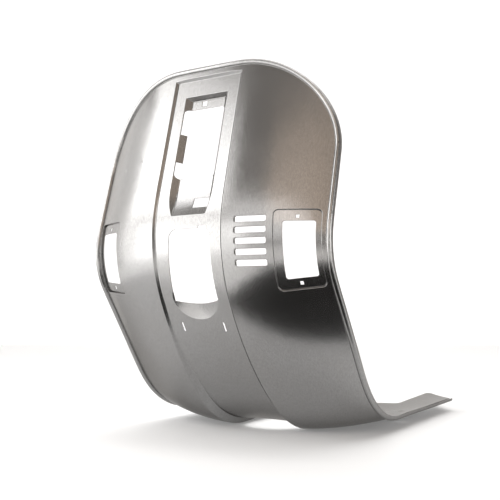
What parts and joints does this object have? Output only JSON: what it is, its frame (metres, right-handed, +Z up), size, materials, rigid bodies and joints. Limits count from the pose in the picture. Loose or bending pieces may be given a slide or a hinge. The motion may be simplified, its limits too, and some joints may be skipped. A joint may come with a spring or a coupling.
{
  "type": "scooter leg shield",
  "caption": "Pressed steel leg shield of a small scooter, swept back at the sides and turned under into floor wings, with a beaded edge, a sunk middle channel, signal openings and horn louvres.",
  "frame": {"origin": "on the ground, below the middle of the part's box", "axes": "+X to the side that has the louvres, -Y to the scooter's front, +Z up"},
  "size_m": [0.4662, 0.8012, 0.636],
  "materials": {
    "bare_steel": "satin bare steel sheet"
  },
  "bodies": {
    "root": {"leg_shield": "bare_steel"}
  },
  "joints": []
}
